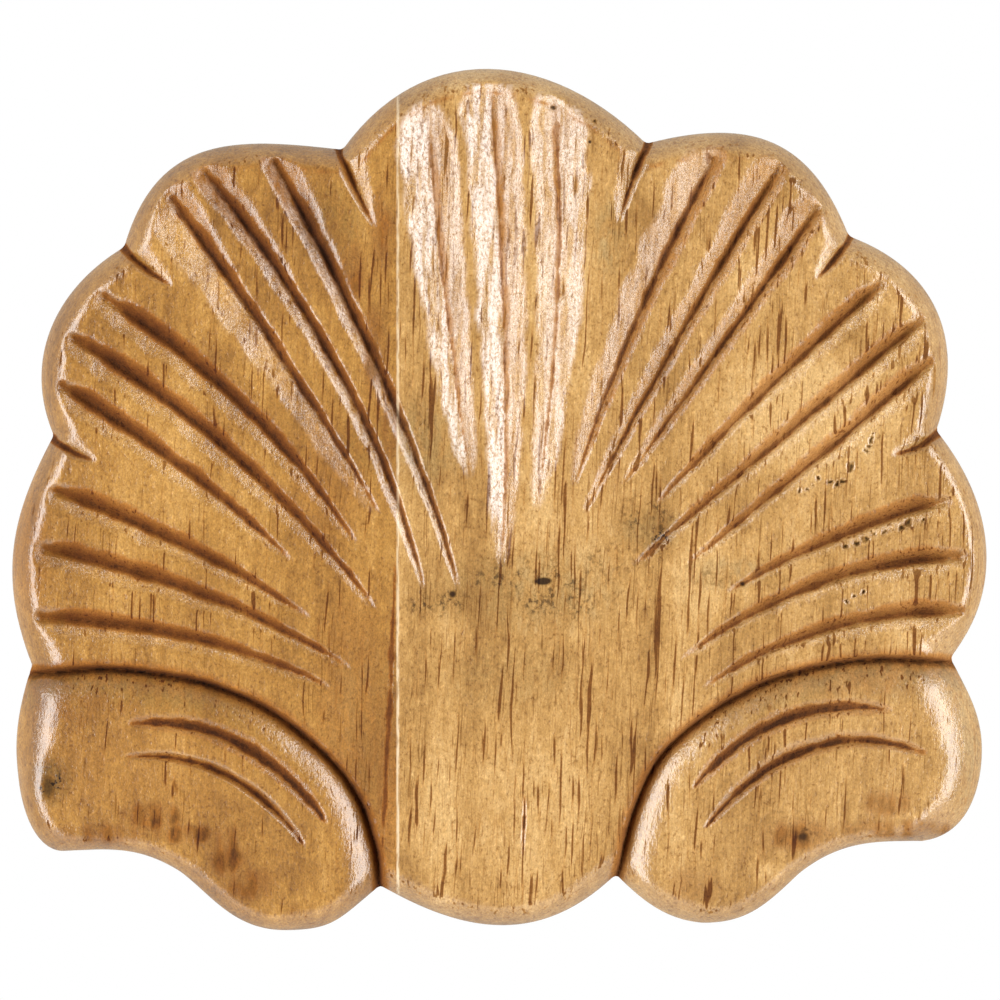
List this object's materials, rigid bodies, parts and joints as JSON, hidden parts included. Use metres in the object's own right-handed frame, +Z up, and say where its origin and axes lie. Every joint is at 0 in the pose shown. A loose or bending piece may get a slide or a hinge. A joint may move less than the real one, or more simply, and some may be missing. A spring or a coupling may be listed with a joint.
{
  "type": "carved shell ornament",
  "caption": "Flat-backed carved wood scallop shell with fluted lobes over two scrolls and a foot, glued or pinned to furniture, frames or mantels.",
  "frame": {"origin": "middle of the outline's width and height, on the flat back", "axes": "+X to the right and +Z up as the ornament is seen, +Y from the carved face into what it is fixed to"},
  "size_m": [0.08, 0.0127, 0.0706],
  "materials": {
    "left_wood": "semi-gloss lacquer over a brown glaze that lies dark in the cuts, the darker of the two boards",
    "right_wood": "semi-gloss lacquer over a honey stain, with a brown glaze in the cuts and open wood vessels"
  },
  "bodies": {
    "root": {"left_board": "left_wood", "right_board": "right_wood"}
  },
  "joints": []
}
